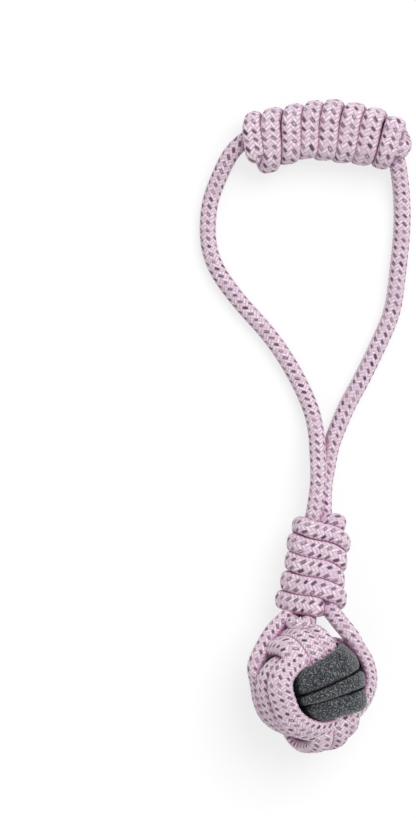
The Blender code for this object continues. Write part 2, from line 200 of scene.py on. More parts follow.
def tuck(start, heading, mouth, inward, pull):
    # a cubic from the coil's end round to the slot's mouth, then straight in
    s = np.linspace(0, 1, sweep["tuckRings"] + 1)[1:, None]
    curve = ((2 * s ** 3 - 3 * s ** 2 + 1) * start + (s ** 3 - 2 * s ** 2 + s) * heading * pull
             + (3 * s ** 2 - 2 * s ** 3) * mouth + (s ** 3 - s ** 2) * inward * pull)
    return np.vstack([curve, mouth + inward * strandD / 2, mouth + inward * strandD])


def coilRoute(axisAt, turns, first, pitch, leanAt, fuller, uneven, slid, endShare, startSlot, endSlot):
    # a circle drawn out along the line of the slots, moved on by the pitch and leaned over its far side
    turn = np.linspace(*turns, int((turns[1] - turns[0]) / (2 * math.pi) * sweep["coilRings"]))

    def placeAt(turn):
        aside = smoothRows(slid[1][:, None], slid[0], np.clip(turn, slid[0][0], slid[0][-1]))[:, 0]
        return first + pitch * turn / (2 * math.pi) + leanAt(turn) * (1 - np.cos(turn)) / 2 + aside

    place = placeAt(turn)
    point, along, outward, up = axisAt(place)
    # each half turn reaches out a little more or less than a circle would
    extra = np.interp(turn, uneven[0], uneven[1]) * np.cos(turn) ** 2
    atSlots = slotOffset * np.tanh(sweep["slotSwitch"] * np.cos(turn))
    reach = atSlots + ringRadius * np.cos(turn) + extra * np.sign(np.cos(turn))
    coil = point + outward * reach[:, None] + up * (ringRadius * np.sin(turn))[:, None]
    outs = unit(outward * np.cos(turn)[:, None] + up * np.sin(turn)[:, None])
    slope = np.sqrt(1 - np.sum(headings(coil) * along, axis=1) ** 2)
    # as wide as the windings stand apart, and a little more so that they press together
    spacing = np.abs(placeAt(turn + 2 * math.pi) - placeAt(turn - 2 * math.pi)) / 2
    wide = (spacing * slope + fuller) / 2
    # the last winding is narrower at its sides
    last = np.interp(turn, (turns[1] - sweep["narrowFor"] * math.pi / 2, turns[1] - math.pi / 2), (0, 1))
    wide = wide * (1 - (1 - endShare) * np.cos(turn) ** 2 * last)
    thick = np.full(len(turn), pressedThick / 2)
    for atStart, into in ((True, startSlot), (False, endSlot)):
        end = 0 if atStart else -1
        leaving = headings(coil)[end] * (-1 if atStart else 1)
        tail = tuck(coil[end], leaving, *into)
        normals = carryNormals(np.vstack([coil[end], tail]), outs[end])[1:]
        eased = np.linspace(0, 1, len(tail))
        rows = [(coil, tail), (outs, normals), (wide, wide[end] + (strandD / 2 - wide[end]) * eased),
                (thick, thick[end] + (strandD / 2 - thick[end]) * eased)]
        coil, outs, wide, thick = [np.concatenate([new[::-1], old] if atStart else [old, new])
                                   for old, new in rows]
    return coil, outs, wide, thick


def fistRoute(out, through, side, start, end, straightEnds, lanes):
    # a rounded square about the core, wide where it shows, that moves over by a lane where it is hidden
    turn = np.linspace(start, end, int((end - start) / (2 * math.pi) * sweep["fistRings"]))
    lane = np.ones(len(turn))
    for k in range(ball["strands"] - 1):
        begins = math.pi * (3 / 2 + 2 * k) - ball["laneChange"]
        x = np.clip((turn - begins) / (2 * ball["laneChange"]), 0, 1)
        lane = lane - (x + x * x * (3 - 2 * x)) / 2
    c, s = np.cos(turn), np.sin(turn)
    offset, width, drop, shift = [np.interp(lane, (-1, 0, 1), lanes[key]) * mm
                                  for key in ("places", "widths", "drops", "shifts")]
    # the first turn comes in further out or nearer than the others, at a few places from its start
    entering = np.array(lanes["enter"])[:, None] * mm
    enterAt = np.array(ball["enterAt"]) * math.pi
    shift = shift + smoothRows(entering, enterAt, np.clip(turn, enterAt[0], enterAt[-1]))[:, 0]
    far, near = outerRun - drop, innerRun - drop + np.where(s > 0, *lanes["tight"]) * mm
    # squareness on the through side, of the first quarter and of the later ones, then on the other side:
    # where it goes out and on the last turn, and where the earlier turns come in
    lastOut = (2 * ball["strands"] - 1) * math.pi
    m = np.where(s > 0, np.interp(turn, (math.pi / 2, math.pi), lanes["squareness"][:2]),
                 np.where((c > 0) | (turn > lastOut), *lanes["squareness"][2:]))
    size = (np.abs(c / far) ** m + np.abs(s / near) ** m) ** (-1 / m)
    x, y = size * c, size * s
    spread = 1 + lanes["fan"] * y / near
    # some strands are narrower where they come in than where they go out
    width = width * (1 + np.interp(lane, (-1, 0, 1), lanes["pinch"]) * y / near)
    centres = (x + shift)[:, None] * out + y[:, None] * through + (offset * spread)[:, None] * side
    outs = ((np.sign(x) * np.abs(x / far) ** (m - 1) / far)[:, None] * out
            + (np.sign(y) * np.abs(y / near) ** (m - 1) / near)[:, None] * through)
    # outer strands lean away from the middle one, as they do round a ball
    outs = unit(unit(outs) + np.interp(lane, (-1, 0, 1), lanes["leans"])[:, None] * side)
    if straightEnds:
        heading = headings(centres)
        steps = np.array([1, 1 / 2])[:, None] * rope["across"]
        centres = np.vstack([centres[0] - heading[0] * steps, centres, centres[-1] + heading[-1] * steps[::-1]])
        outs = np.vstack([outs[:1], outs[:1], outs, outs[-1:], outs[-1:]])
        width = np.concatenate([width[:1], width[:1], width, width[-1:], width[-1:]])
    slope = np.sqrt(1 - (headings(centres) @ side) ** 2)
    wide, thick = width * slope / 2, np.full(len(width), fistThick / 2 + lanes["fuller"] / 2)
    if straightEnds:
        # towards its two ends the strand grows round again
        at = travelled(centres)
        rounder = np.clip(1 - np.minimum(at, at[-1] - at) / ball["roundFor"], 0, 1) ** 2
        half = ball["endHalf"] * strandD
        wide, thick = wide + (half - wide) * rounder, thick + (half - thick) * rounder
    return centres, outs, wide, thick


# Braid: surface relief worked out on a grid of distance along and carriers round
braid = {"unit": 2.45 * mm, "relief": 0.42 * mm, "around": 60, "step": 0.49 * mm, "backWidth": 0.94,
         "backPower": 0.6, "sink": 0.75, "sinkPower": 0.5}


def braidRelief(u, v):
    # strips wind both ways, each over two and under two; a strip's back is a half cosine, sunk at its ends
    a, b = u + v, u - v
    ia, ib = np.floor(a), np.floor(b)
    fa, fb = a - ia, b - ib
    phase = np.mod(ia + ib, 4)
    first = phase < 2
    across = np.where(first, fa, fb) - 0.5
    along = np.where(first, (phase + fb) / 2, (phase - 2 + fa) / 2)
    back = np.cos(math.pi * across * braid["backWidth"]) ** braid["backPower"]
    rise = np.sin(math.pi * np.clip(along, 0.02, 0.98)) ** braid["sinkPower"]
    return back * (1 - braid["sink"] + braid["sink"] * rise) - 1


def evenAngles(around, section, wide, thick):
    # angles that cut the section's outline into equal lengths
    fine = np.linspace(0, 2 * math.pi, sweep["outlineSteps"])
    c, n = np.cos(fine), np.sin(fine)
    outline = np.column_stack([wide * np.sign(c) * np.abs(c) ** (2 / section),
                               thick * np.sign(n) * np.abs(n) ** (2 / section)])
    length = travelled(outline)
    return np.interp(np.arange(around) / around * length[-1], length, fine)


def sweptSurface(name, route, section, relief, uvUnit, phase=(0, 0), ends=(True, True), carriers=12,
                 around=None, step=None):
    # rings of a rounded section carried along the route, closed with a dome at each end that is a real one
    centre, outs, wide, thick = route
    around, step = around or braid["around"], step or braid["step"]
    at = travelled(centre)
    s = np.linspace(0, at[-1], max(sweep["fewestRings"], int(at[-1] / step)))
    rows = smoothRows(np.column_stack([centre, outs, wide, thick]), at, s)
    centre, outs, wide, thick = rows[:, :3], rows[:, 3:6], rows[:, 6], rows[:, 7]
    heading = headings(centre)
    outs = unit(outs - heading * np.sum(outs * heading, axis=1, keepdims=True))
    sides = np.cross(heading, outs)
    fromEnd = np.minimum(s if ends[0] else at[-1], at[-1] - s if ends[1] else at[-1])
    intoDome = np.clip(fromEnd / (sweep["domeShare"] * thick.mean()), 0, 1)
    dome = np.sqrt(np.clip(1 - (1 - intoDome) ** 2, sweep["leastDome"], 1))
    wide, thick = wide * dome, thick * dome
    angle = evenAngles(around, section, wide.mean(), thick.mean())
    c, n = np.cos(angle), np.sin(angle)
    px = np.sign(c) * np.abs(c) ** (2 / section)
    py = np.sign(n) * np.abs(n) ** (2 / section)
    x, y = wide[:, None] * px, thick[:, None] * py
    nx = np.sign(c) * np.abs(px) ** (section - 1) / wide[:, None]
    ny = np.sign(n) * np.abs(py) ** (section - 1) / thick[:, None]
    size = np.sqrt(nx ** 2 + ny ** 2)
    u = phase[0] - carriers * np.arange(around + 1) / around + 0 * s[:, None]
    # distance along, counted faster where the outer side of a tight bend is much the longer
    outer = travelled(centre + outs * thick[:, None])
    s = np.concatenate([[0], np.cumsum(np.maximum(np.diff(s), sweep["outerPace"] * np.diff(outer)))])
    v = (s[:, None] + phase[1]) / uvUnit + 0 * u
    height = relief(u[:, :-1], v[:, :-1], centre, angle)
    x, y = x + nx / size * height, y + ny / size * height
    points = centre[:, None] + sides[:, None] * x[..., None] + outs[:, None] * y[..., None]
    rings = len(s)
    verts = np.vstack([points.reshape(-1, 3), centre[:1], centre[-1:]])
    grid = np.stack([u, v], axis=-1)
    # four-cornered faces between neighbouring rings
    i, j = np.meshgrid(np.arange(rings - 1), np.arange(around), indexing="ij")
    k = (j + 1) % around
    here, above = i * around, (i + 1) * around
    quads = np.stack([here + j, here + k, above + k, above + j], axis=-1).reshape(-1, 4)
    uvQuads = np.stack([grid[i, j], grid[i, j + 1], grid[i + 1, j + 1], grid[i + 1, j]], axis=2).reshape(-1, 2)
    # a fan of triangles at each end
    j = np.arange(around)
    k = (j + 1) % around
    lastRing = (rings - 1) * around
    low = np.stack([k, j, np.full(around, rings * around)], axis=-1)
    high = np.stack([lastRing + j, lastRing + k, np.full(around, rings * around + 1)], axis=-1)
    uvLow = np.stack([grid[0, j + 1], grid[0, j], grid[0, j]], axis=1).reshape(-1, 2)
    uvHigh = np.stack([grid[-1, j], grid[-1, j + 1], grid[-1, j]], axis=1).reshape(-1, 2)
    return meshObject(name, verts, [quads, low, high], np.vstack([uvQuads, uvLow, uvHigh]))


def meshObject(name, verts, faceSets, uv):
    # loops are written whole: corner numbers, then where each face starts and how many corners it has
    mesh = bpy.data.meshes.new(name)
    corners = np.concatenate([f.reshape(-1) for f in faceSets]).astype(np.int32)
    sizes = np.concatenate([np.full(len(f), f.shape[1]) for f in faceSets]).astype(np.int32)
    starts = np.concatenate([[0], np.cumsum(sizes)[:-1]]).astype(np.int32)
    mesh.vertices.add(len(verts))
    mesh.vertices.foreach_set("co", verts.astype(np.float32).reshape(-1))
    mesh.loops.add(len(corners))
    mesh.loops.foreach_set("vertex_index", corners)
    mesh.polygons.add(len(sizes))
    mesh.polygons.foreach_set("loop_start", starts)
    mesh.polygons.foreach_set("loop_total", sizes)
    mesh.update(calc_edges=True)
    mesh.polygons.foreach_set("use_smooth", np.ones(len(sizes), dtype=bool))
    layer = mesh.uv_layers.new(name="weave")
    layer.data.foreach_set("uv", uv.astype(np.float32).reshape(-1))
    mesh.validate()
    obj = bpy.data.objects.new(name, mesh)
    bpy.context.collection.objects.link(obj)
    return obj


def ropeRelief(u, v, centre, angle):
    # nothing on the strips' backs and down to the relief's depth between them
    return braid["relief"] * braidRelief(u, v)


def braidedRope(name, route, section, phase, unitLength=None, ends=(True, True), carriers=12, around=None):
    piece = sweptSurface(name, route, section, ropeRelief, unitLength or braid["unit"], phase, ends,
                         carriers, around)
    piece.data.materials.append(materials["pink"])
    return piece


# Node helpers
class Nodes:
    # keeps a tree and puts nodes into it in one line each
    def __init__(self, tree):
        self.tree = tree

    def add(self, kind, **values):
        node = self.tree.nodes.new(kind)
        for key, value in values.items():
            setattr(node, key, value)
        return node

    def link(self, source, target):
        self.tree.links.new(source, target)

    def feed(self, node, number, value):
        if isinstance(value, bpy.types.NodeSocket):
            self.link(value, node.inputs[number])
        else:
            node.inputs[number].default_value = value

    def math(self, operation, first, second=0.0):
        node = self.add("ShaderNodeMath", operation=operation)
        for number, value in enumerate((first, second)):
            self.feed(node, number, value)
        return node.outputs[0]

    def plus(self, first, second):
        return self.math("ADD", first, second)

    def minus(self, first, second):
        return self.math("SUBTRACT", first, second)

    def times(self, first, second):
        return self.math("MULTIPLY", first, second)

    def smooth(self, value, low, high, lowOut=0.0, highOut=1.0):
        node = self.add("ShaderNodeMapRange", interpolation_type="SMOOTHSTEP")
        for number, item in enumerate((value, low, high, lowOut, highOut)):
            self.feed(node, number, item)
        return node.outputs[0]

    def mix(self, factor, first, second, blend="MIX"):
        node = self.add("ShaderNodeMix", data_type="RGBA", blend_type=blend)
        for number, value in ((0, factor), (6, first), (7, second)):
            self.feed(node, number, value)
        return node.outputs[2]

    def random(self, first, second, third):
        key = self.add("ShaderNodeCombineXYZ")
        for number, value in enumerate((first, second, third)):
            self.feed(key, number, value)
        node = self.add("ShaderNodeTexWhiteNoise", noise_dimensions="3D")
        self.link(key.outputs[0], node.inputs["Vector"])
        return node.outputs["Value"]

    def noise(self, vector, scale, detail=2.0, roughness=0.5):
        node = self.add("ShaderNodeTexNoise")
        self.link(vector, node.inputs["Vector"])
        node.inputs["Scale"].default_value = scale
        node.inputs["Detail"].default_value = detail
        node.inputs["Roughness"].default_value = roughness
        return node.outputs["Fac"]


def newGroup(name, inputs, outputs):
    tree = bpy.data.node_groups.new(name, "ShaderNodeTree")
    kinds = {"colour": "NodeSocketColor", "number": "NodeSocketFloat", "vector": "NodeSocketVector"}
    for title, kind, value in inputs:
        socket = tree.interface.new_socket(name=title, in_out="INPUT", socket_type=kinds[kind])
        if value is not None:
            socket.default_value = value
    for title, kind in outputs:
        tree.interface.new_socket(name=title, in_out="OUTPUT", socket_type=kinds[kind])
    nodes = Nodes(tree)
    return tree, nodes, nodes.add("NodeGroupInput"), nodes.add("NodeGroupOutput")


def linear(red, green, blue):
    # a screen colour from 0 to 255 as the light it stands for
    c = np.array([red, green, blue]) / 255
    return (*np.where(c <= 0.04045, c / 12.92, ((c + 0.055) / 1.055) ** 2.4).tolist(), 1.0)


def light(red, green, blue):
    # a colour given as light, or what another colour is multiplied by
    return red, green, blue, 1


white, black = light(1, 1, 1), light(0, 0, 0)

# The braid's colours: which strip is on top, its yarns with a painted highlight along each strip's middle, painted
# shade between the yarns, at the strips' edges and ends and in the creases between ropes, and its flecks
pinkLook = {"yarn": linear(219, 194, 208), "paleYarnAndHighlight": linear(255, 250, 254), "gap": linear(186, 139, 174),
            "fleck": linear(82, 66, 82), "paleFleck": linear(120, 102, 117), "seamShade": linear(148, 92, 134),
            "creaseShadeColour": linear(176, 104, 154), "darker": light(0.88, 0.87, 0.90), "lighter": light(1.10, 1.10, 1.09),
            "edgeSeamShade": 0.42, "endSeamShade": 0.55, "ridgeHeight": 0.55, "fibreHeight": 0.45, "creaseShade": 6 * mm,
            "sheen": 0.25, "sheenRoughness": 0.5, "specular": 0.25, "bump": 0.16 * mm}
# what lies between the first two numbers is spread smoothly between the last two, or between 0 and 1
ranges = {"fray": (0.2, 0.8, -0.12, 0.12), "middle": (0.34, 0.10), "paleYarnAndHighlight": (0.10, 0.80, 0.10, 0.85),
          "gap": (0.75, 0.15, 0.0, 0.42), "wander": (0.25, 0.75, -0.09, 0.09), "fleckSize": (0.0, 1.0, 0.92, 1.22),
          "fleckEdge": (1.06, 0.84), "hollow": (0.66, 0.40), "hollowChance": (0.55, 0.92, 0.0, 0.5),
          "fleckStrength": (0.05, 0.45, 0.55, 1.0), "paleFleck": (0.0, 0.6), "edge": (0.38, 0.5),
          "end": (0.42, 0.5), "patchySeamShade": (0.25, 0.7, 0.55, 1.0), "roughness": (0.0, 1.0, 0.80, 0.92),
          "creaseShade": (0.80, 0.26, 0.0, 0.85), "clump": (0.36, 0.60), "speck": (0.51, 0.65),
          "fleeceRoughness": (0.3, 0.7, 0.98, 0.88), "fleeceCreaseShade": (0.88, 0.46, 0.0, 0.95)}
# a fleck's half width and half length, as what they are multiplied by to give 1, and how square it is
fleckShape = {"across": 1.80, "along": 2.15, "squareness": 4.0}
# yarns in a strip, and what keeps one kind of chance apart from another
yarns = {"inStrip": 3.0, "otherWay": 57.0, "wholeStrip": 17.0, "fleckSize": 31.0}
# how fine each noise is, about in lumps a metre
noises = {"fibre": 2600.0, "fleckEdge": 900.0, "seamShade": 420.0, "drift": 55.0,
          "clump": 620.0, "speck": 1050.0, "patch": 90.0, "rubber": 400.0}


def weaveGroup():
    tree, n, given, result = newGroup("braidWeave", [
        ("Vector", "vector", None), ("Place", "vector", None), ("Yarn", "colour", white),
        ("Pale yarn and highlight", "colour", white), ("Yarn gap shade", "colour", black), ("Fleck", "colour", black),
        ("Pale fleck", "colour", black), ("Seam", "colour", black), ("Crease shade colour", "colour", black),
        ("Crease shade", "number", 0.0)],
        [("Colour", "colour"), ("Height", "number"), ("Roughness", "number")])
    place = given.outputs["Place"]
    apart = n.add("ShaderNodeSeparateXYZ")
    n.link(given.outputs["Vector"], apart.inputs[0])
    u, v = apart.outputs[0], apart.outputs[1]
    # the same strips as the relief
    a, b = n.plus(u, v), n.minus(u, v)
    ia, ib = n.math("FLOOR", a), n.math("FLOOR", b)
    fa, fb = n.minus(a, ia), n.minus(b, ib)
    phase = n.math("FLOORED_MODULO", n.plus(ia, ib), 4.0)
    first = n.math("LESS_THAN", phase, 1.5)
    second = n.minus(1.0, first)

    def onTop(x, y):
        # what is true of the strip that lies on top here
        return n.plus(n.times(first, x), n.times(second, y))

    across = n.minus(onTop(fa, fb), 0.5)
    along = onTop(n.math("DIVIDE", n.plus(phase, fb), 2.0),
                  n.math("DIVIDE", n.plus(n.minus(phase, 2.0), fa), 2.0))
    strip = onTop(ia, n.plus(ib, yarns["otherWay"]))
    # yarns side by side in a strip, each a little lighter or deeper than the next, with a painted highlight along
    # the strip's middle and painted shade in the gaps between yarns
    yarnAt = n.times(n.plus(across, 0.5), yarns["inStrip"])
    yarnNumber = n.math("FLOOR", yarnAt)
    ridge = n.math("SINE", n.times(n.minus(yarnAt, yarnNumber), math.pi))
    crossing = n.math("FLOOR", n.times(onTop(ib, ia), 0.5))
    chance = n.random(strip, yarnNumber, crossing)
    stripChance = n.random(strip, yarns["wholeStrip"], crossing)
    sizeChance = n.random(strip, yarns["fleckSize"], crossing)
    fibre = n.noise(place, noises["fibre"], 2.0, 0.6)
    frayed = n.plus(across, n.smooth(fibre, *ranges["fray"]))
    # partly the yarns' own paler colour, at random by yarn, and partly a painted highlight along each strip's
    # middle, its top
    middle = n.smooth(n.math("ABSOLUTE", frayed), *ranges["middle"])
    paleAndHighlight = n.times(middle, n.smooth(chance, *ranges["paleYarnAndHighlight"]))
    yarn = n.mix(paleAndHighlight, given.outputs["Yarn"], given.outputs["Pale yarn and highlight"])
    # painted shade in the gaps between yarns
    yarn = n.mix(n.smooth(ridge, *ranges["gap"]), yarn, given.outputs["Yarn gap shade"])
    # every other strip of the first way round is a fleck: softer at its corners, some of them worn pale inside
    even = n.math("LESS_THAN", n.math("FLOORED_MODULO", ia, 2.0), 0.5)
    isFleck = n.times(even, first)
    wander = n.smooth(n.noise(place, noises["fleckEdge"]), *ranges["wander"])
    sideways = n.math("ABSOLUTE", across)
    lengthways = n.math("ABSOLUTE", n.minus(along, 0.5))
    power = fleckShape["squareness"]
    fromMiddle = n.plus(n.math("POWER", n.times(sideways, fleckShape["across"]), power),
                        n.math("POWER", n.times(lengthways, fleckShape["along"]), power))
    fromMiddle = n.math("POWER", fromMiddle, 1 / power)
    # single flecks are a little smaller or larger
    fromMiddle = n.times(fromMiddle, n.smooth(sizeChance, *ranges["fleckSize"]))
    body = n.smooth(n.plus(fromMiddle, wander), *ranges["fleckEdge"])
    hollow = n.times(n.smooth(fromMiddle, *ranges["hollow"]), n.smooth(stripChance, *ranges["hollowChance"]))
    strength = n.times(n.smooth(chance, *ranges["fleckStrength"]), n.minus(1.0, hollow))
    fleckMask = n.times(n.times(isFleck, body), strength)
    fleck = n.mix(n.smooth(stripChance, *ranges["paleFleck"]), given.outputs["Fleck"], given.outputs["Pale fleck"])
    colour = n.mix(fleckMask, yarn, fleck)
    # painted shade: deeper lines where strips dive under each other, and a deep tint in the creases between ropes
    edge = n.smooth(sideways, *ranges["edge"])
    end = n.smooth(lengthways, *ranges["end"])
    seamShade = n.math("MAXIMUM", n.times(edge, pinkLook["edgeSeamShade"]), n.times(end, pinkLook["endSeamShade"]))
    # the painted seam shade is patchy along the rope, from a noise
    seamShade = n.times(seamShade, n.smooth(n.noise(place, noises["seamShade"]), *ranges["patchySeamShade"]))
    colour = n.mix(seamShade, colour, given.outputs["Seam"])
    # painted shade in the creases between ropes
    colour = n.mix(given.outputs["Crease shade"], colour, given.outputs["Crease shade colour"])
    # the whole rope drifts between a little darker and a little lighter
    drift = n.noise(place, noises["drift"], 3.0)
    drift = n.mix(drift, pinkLook["darker"], pinkLook["lighter"])
    colour = n.mix(1.0, colour, drift, "MULTIPLY")
    n.link(colour, result.inputs["Colour"])
    height = n.plus(n.times(ridge, pinkLook["ridgeHeight"]), n.times(fibre, pinkLook["fibreHeight"]))
    n.link(height, result.inputs["Height"])
    n.link(n.smooth(chance, *ranges["roughness"]), result.inputs["Roughness"])
    return tree


def newMaterial(name):
    material = bpy.data.materials.new(name)
    material.use_nodes = True
    tree = material.node_tree
    return material, Nodes(tree), tree.nodes["Principled BSDF"]


def pinkMaterial(group):
    material, n, shader = newMaterial("pinkBraid")
    uv = n.add("ShaderNodeUVMap", uv_map="weave")
    place = n.add("ShaderNodeTexCoord")
    weave = n.add("ShaderNodeGroup", node_tree=group)
    n.link(uv.outputs[0], weave.inputs["Vector"])
    n.link(place.outputs["Object"], weave.inputs["Place"])
    for title, key in (("Yarn", "yarn"), ("Pale yarn and highlight", "paleYarnAndHighlight"), ("Yarn gap shade", "gap"), ("Fleck", "fleck"),
                       ("Pale fleck", "paleFleck"), ("Seam", "seamShade"), ("Crease shade colour", "creaseShadeColour")):
        weave.inputs[title].default_value = pinkLook[key]
    # painted shade: ambient occlusion tints the creases between ropes a deep magenta
    shadeOcclusion = n.add("ShaderNodeAmbientOcclusion", samples=8)
    shadeOcclusion.inputs["Distance"].default_value = pinkLook["creaseShade"]
    n.link(n.smooth(shadeOcclusion.outputs["AO"], *ranges["creaseShade"]), weave.inputs["Crease shade"])
    n.link(weave.outputs["Colour"], shader.inputs["Base Color"])
    n.link(weave.outputs["Roughness"], shader.inputs["Roughness"])
    bump = n.add("ShaderNodeBump")
    bump.inputs["Distance"].default_value = pinkLook["bump"]
    bump.inputs["Strength"].default_value = 1.0
    n.link(weave.outputs["Height"], bump.inputs["Height"])
    n.link(bump.outputs[0], shader.inputs["Normal"])
    shader.inputs["Sheen Weight"].default_value = pinkLook["sheen"]
    shader.inputs["Sheen Roughness"].default_value = pinkLook["sheenRoughness"]
    shader.inputs["Specular IOR Level"].default_value = pinkLook["specular"]
    return material


# Fleece: a dark mottle with pale specks, with painted shade in its folds
fleeceLook = {"dark": linear(13, 15, 19), "mid": linear(54, 57, 61), "pale": linear(136, 141, 145),
              "darker": light(0.85, 0.85, 0.85), "lighter": light(1.12, 1.12, 1.12), "specks": 0.85,
              "clumpHeight": 0.6, "speckHeight": 0.4, "bump": 0.35 * mm, "creaseShade": 14 * mm, "sheen": 0.3,
              "sheenRoughness": 0.6, "specular": 0.08}


def fleeceGroup():
    tree, n, given, result = newGroup("fleeceMottle", [
        ("Place", "vector", None), ("Dark", "colour", black), ("Middle", "colour", black),
        ("Pale", "colour", white), ("Crease shade", "number", 0.0)],
        [("Colour", "colour"), ("Height", "number"), ("Roughness", "number")])
    place = given.outputs["Place"]
    clump = n.noise(place, noises["clump"], 3.0, 0.6)
    speck = n.noise(place, noises["speck"], 2.0, 0.6)
    patch = n.noise(place, noises["patch"], 2.0)
    colour = n.mix(n.smooth(clump, *ranges["clump"]), given.outputs["Dark"], given.outputs["Middle"])
    specks = n.times(n.smooth(speck, *ranges["speck"]), fleeceLook["specks"])
    colour = n.mix(specks, colour, given.outputs["Pale"])
    # painted shade in the folds
    colour = n.mix(given.outputs["Crease shade"], colour, given.outputs["Dark"])
    patch = n.mix(patch, fleeceLook["darker"], fleeceLook["lighter"])
    colour = n.mix(1.0, colour, patch, "MULTIPLY")
    n.link(colour, result.inputs["Colour"])
    height = n.plus(n.times(clump, fleeceLook["clumpHeight"]), n.times(speck, fleeceLook["speckHeight"]))
    n.link(height, result.inputs["Height"])
    n.link(n.smooth(speck, *ranges["fleeceRoughness"]), result.inputs["Roughness"])
    return tree


def fleeceMaterial(group):
    material, n, shader = newMaterial("greyFleece")
    place = n.add("ShaderNodeTexCoord")
    fleece = n.add("ShaderNodeGroup", node_tree=group)
    n.link(place.outputs["Object"], fleece.inputs["Place"])
    for title, key in (("Dark", "dark"), ("Middle", "mid"), ("Pale", "pale")):
        fleece.inputs[title].default_value = fleeceLook[key]
    # painted shade: ambient occlusion darkens the folds towards the dark colour
    shadeOcclusion = n.add("ShaderNodeAmbientOcclusion", samples=8)
    shadeOcclusion.inputs["Distance"].default_value = fleeceLook["creaseShade"]
    creaseShade = n.smooth(shadeOcclusion.outputs["AO"], *ranges["fleeceCreaseShade"])
    n.link(creaseShade, fleece.inputs["Crease shade"])
    n.link(fleece.outputs["Colour"], shader.inputs["Base Color"])
    n.link(fleece.outputs["Roughness"], shader.inputs["Roughness"])
    bump = n.add("ShaderNodeBump")
    bump.inputs["Distance"].default_value = fleeceLook["bump"]
    n.link(fleece.outputs["Height"], bump.inputs["Height"])
    n.link(bump.outputs[0], shader.inputs["Normal"])
    # no sheen in the folds, to keep their painted shade dark
    sheen = n.times(n.minus(1.0, creaseShade), fleeceLook["sheen"])
    n.link(sheen, shader.inputs["Sheen Weight"])
    shader.inputs["Sheen Roughness"].default_value = fleeceLook["sheenRoughness"]
    shader.inputs["Specular IOR Level"].default_value = fleeceLook["specular"]
    return material


rubberLook = {"dark": linear(70, 52, 60), "pale": linear(98, 76, 86), "roughness": 0.8}


def rubberMaterial():
    material, n, shader = newMaterial("coreRubber")
    place = n.add("ShaderNodeTexCoord")
    mottle = n.noise(place.outputs["Object"], noises["rubber"], 4.0)
    n.link(n.mix(mottle, rubberLook["dark"], rubberLook["pale"]), shader.inputs["Base Color"])
    shader.inputs["Roughness"].default_value = rubberLook["roughness"]
    return material


materials = {"pink": pinkMaterial(weaveGroup()), "fleece": fleeceMaterial(fleeceGroup()),
             "rubber": rubberMaterial()}
print("materials made")


# The ball
greyFace = unit(ball["greyFace"])
packedTop = unit(np.cross(ball["greyFace"], ball["rightFace"]))
topFace = packedTop * math.cos(ball["turned"]) + np.cross(greyFace, packedTop) * math.sin(ball["turned"])
rightFace = np.cross(topFace, greyFace)
hiddenStart = -math.pi / 2 + ball["laneChange"] + ball["endRoom"]
hiddenEnd = 2 * math.pi * ball["strands"] - math.pi / 2 - ball["laneChange"] - ball["endRoom"]
sideStart = -ball["leadAngle"]
sideStop = 2 * math.pi * (ball["strands"] - 0.5) + ball["leadAngle"]
# places, widths, drops and shifts are in mm, for a band's last, middle and first strand: where it lies in the
# band, how wide it is, how far it is sunk and how far it is moved outwards. leans: how far it faces to the side.
# pinch and fan: strands wider and further apart on the band's through side than on the other. squareness: of the
# path's corners, 2 is round. enter: how much further out the first turn comes in, at five places, in mm. tight: how
# much further out the path runs on its through side and on the other, in mm
plainLanes = {"shifts": (0, 0, 0), "leans": (-0.35, 0, 0.35), "pinch": (0, 0, 0), "fan": 0,
              "squareness": (3.0, 3.0, 3.0, 3.0), "enter": (0, 0, 0, 0, 0), "tight": (0, 0), "fuller": 0.6 * mm}
greyLanes = {**plainLanes, "places": (-11.2, -1.2, 11.4), "widths": (14.0, 8.6, 17.0), "drops": (2.8, 0, 1.6),
             "pinch": (0, 0.27, 0.12), "fan": 0.20, "squareness": (3.4, 3.4, 3.1, 3.1), "tight": (0, -3.0),
             "section": 2.2, "around": 72, "step": 0.5 * mm}
topLanes = {**plainLanes, "places": (-11.3, 0.2, 10.4), "widths": (14.4, 12.0, 12.2), "drops": (1.6, -0.8, 1.4),
            "shifts": (0.6, 0.8, 2.2), "section": 2.3, "phase": 0.5, "unit": 2.1 * mm}
sideLanes = {**plainLanes, "places": (-8.0, 5.0, 19.2), "widths": (12.4, 13.5, 16.8), "drops": (3.1, 1.3, 3.9),
             "shifts": (0, 0, 0.6), "leans": (-0.25, 0.1, 0.72), "squareness": (2.2, 1.78, 3.0, 3.3),
             "enter": (-4.0, 1.8, -5.0, -4.0, 0), "tight": (3.0, 2.4), "fuller": 0.5 * mm, "section": 2.25,
             "phase": 0.2, "unit": 2.1 * mm, "carriers": 16, "around": 80}
greyRoute = fistRoute(greyFace, rightFace, topFace, hiddenStart, hiddenEnd, False, greyLanes)
topRoute = fistRoute(topFace, greyFace, rightFace, hiddenStart, hiddenEnd, False, topLanes)
sideRoute = fistRoute(rightFace, -topFace, greyFace, sideStart, sideStop, True, sideLanes)
ballCentre = np.array([ball["shift"], ballY, 0])
ballCentre[2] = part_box("ball_core")[0][2] + ball["core"] / 2
print("ball centre", ballCentre)


def placed(route):
    # the route moved to the ball's centre
    return (route[0] + ballCentre,) + route[1:]


fleeceShape = {"pace": 0.35, "height": 0.36 * mm, "sunk": 0.2 * mm}


